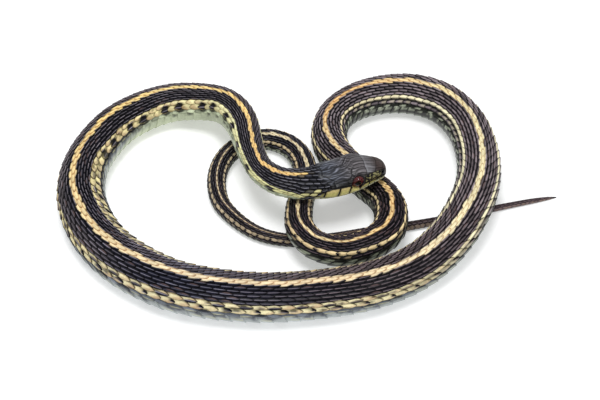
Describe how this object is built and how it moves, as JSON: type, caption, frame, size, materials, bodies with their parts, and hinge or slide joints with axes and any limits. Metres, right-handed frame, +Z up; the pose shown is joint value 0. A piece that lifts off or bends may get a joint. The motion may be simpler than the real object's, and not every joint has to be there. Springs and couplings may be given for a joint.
{
  "type": "garter snake",
  "caption": "Still, life-size garter snake lying in loops on the floor, its head resting over its own coils and its tail stretched out to one side.",
  "frame": {"origin": "bottom centre of the part's box, on the floor that the belly lies on", "axes": "+Z up from the floor, +X the way the head and the tail's tip point, along the longest side of the loops"},
  "size_m": [0.1488, 0.0998, 0.0183],
  "materials": {
    "back_skin": "satin keeled scales, black-brown with cream and golden stripes",
    "head_skin": "satin smooth shields, dark grey to olive-brown",
    "lip_skin": "satin smooth scales, yellow-green with dark seams",
    "eye": "glossy, dark red-brown with a round black pupil"
  },
  "bodies": {
    "root": {"head": "head_skin", "lower_jaw": "lip_skin", "eye_left": "eye", "eye_right": "eye", "neck": "back_skin", "torso_1": "back_skin", "torso_2": "back_skin", "torso_3": "back_skin", "torso_4": "back_skin", "torso_5": "back_skin", "torso_6": "back_skin", "torso_7": "back_skin", "torso_8": "back_skin", "torso_9": "back_skin", "torso_10": "back_skin", "torso_11": "back_skin", "torso_12": "back_skin", "tail_1": "back_skin", "tail_2": "back_skin", "tail_3": "back_skin", "tail_4": "back_skin"}
  },
  "joints": []
}
